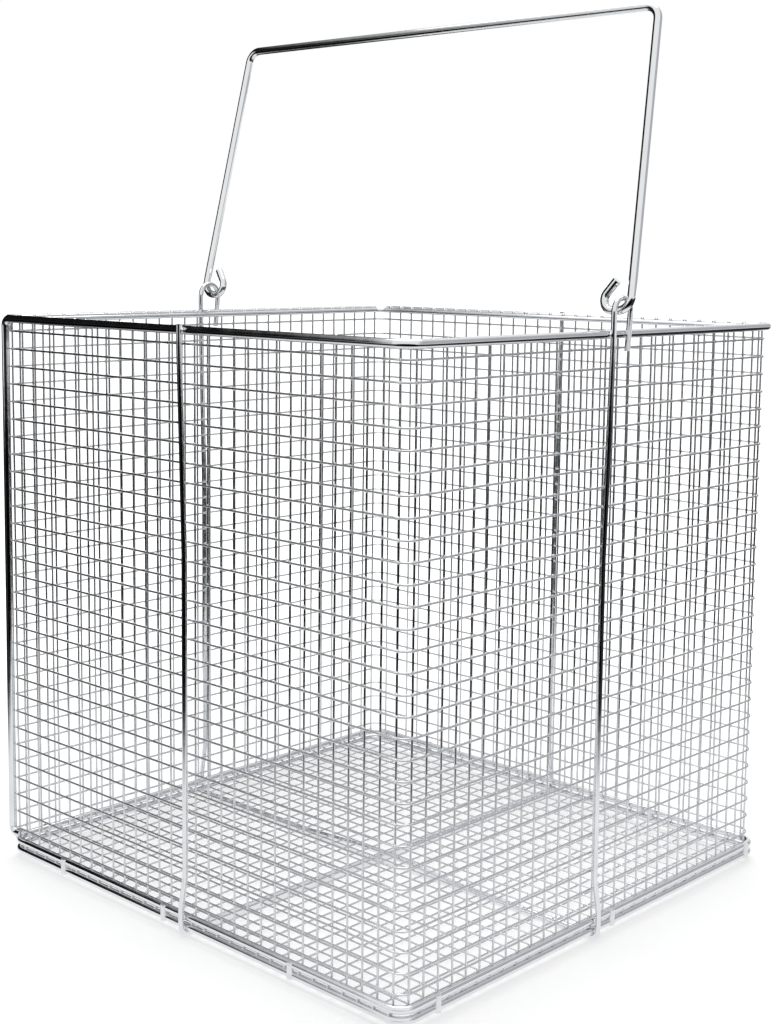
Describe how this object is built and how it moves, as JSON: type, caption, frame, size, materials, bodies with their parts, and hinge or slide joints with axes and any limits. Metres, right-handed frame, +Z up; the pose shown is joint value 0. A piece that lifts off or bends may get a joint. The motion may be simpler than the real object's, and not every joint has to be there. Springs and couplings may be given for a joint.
{
  "type": "sterilization box",
  "caption": "Square open basket of welded steel wire mesh on a rod frame, with a swinging bail hooked into an eye on either side.",
  "frame": {"origin": "middle of the basket, at the underside of the loops it stands on", "axes": "+Z up, X along the bail's pivot line and its bar, the rim turns down as the seam post at the -X, -Y corner"},
  "size_m": [0.3296, 0.3146, 0.4804],
  "materials": {
    "mesh_wire": "electropolished, bright",
    "frame_rod": "electropolished, bright",
    "bail_rod": "electropolished, bright"
  },
  "bodies": {
    "basket": {"rim_ring": "frame_rod", "base_ring_upper": "frame_rod", "base_ring_lower": "frame_rod", "rim_inner": "frame_rod", "corner_wire": "mesh_wire", "uprights_front": "mesh_wire", "uprights_right": "mesh_wire", "uprights_back": "mesh_wire", "uprights_left": "mesh_wire", "level_wires_upper": "mesh_wire", "level_wires_middle": "mesh_wire", "level_wires_lower": "mesh_wire", "base_wires_along_x": "mesh_wire", "base_wires_along_y": "mesh_wire", "hanger_rod": "frame_rod", "brace_rod": "frame_rod", "ring_ties_front": "frame_rod", "ring_ties_right": "frame_rod", "ring_ties_back": "frame_rod", "ring_ties_left": "frame_rod"},
    "bail": {"bail_handle": "bail_rod"}
  },
  "joints": [
    {"name": "bail_swing", "type": "hinge", "parent": "basket", "child": "bail", "pos_m": [0, 0, 0.32525], "axis": [1, 0, 0], "range_deg": [-80.7, 103.7]}
  ]
}
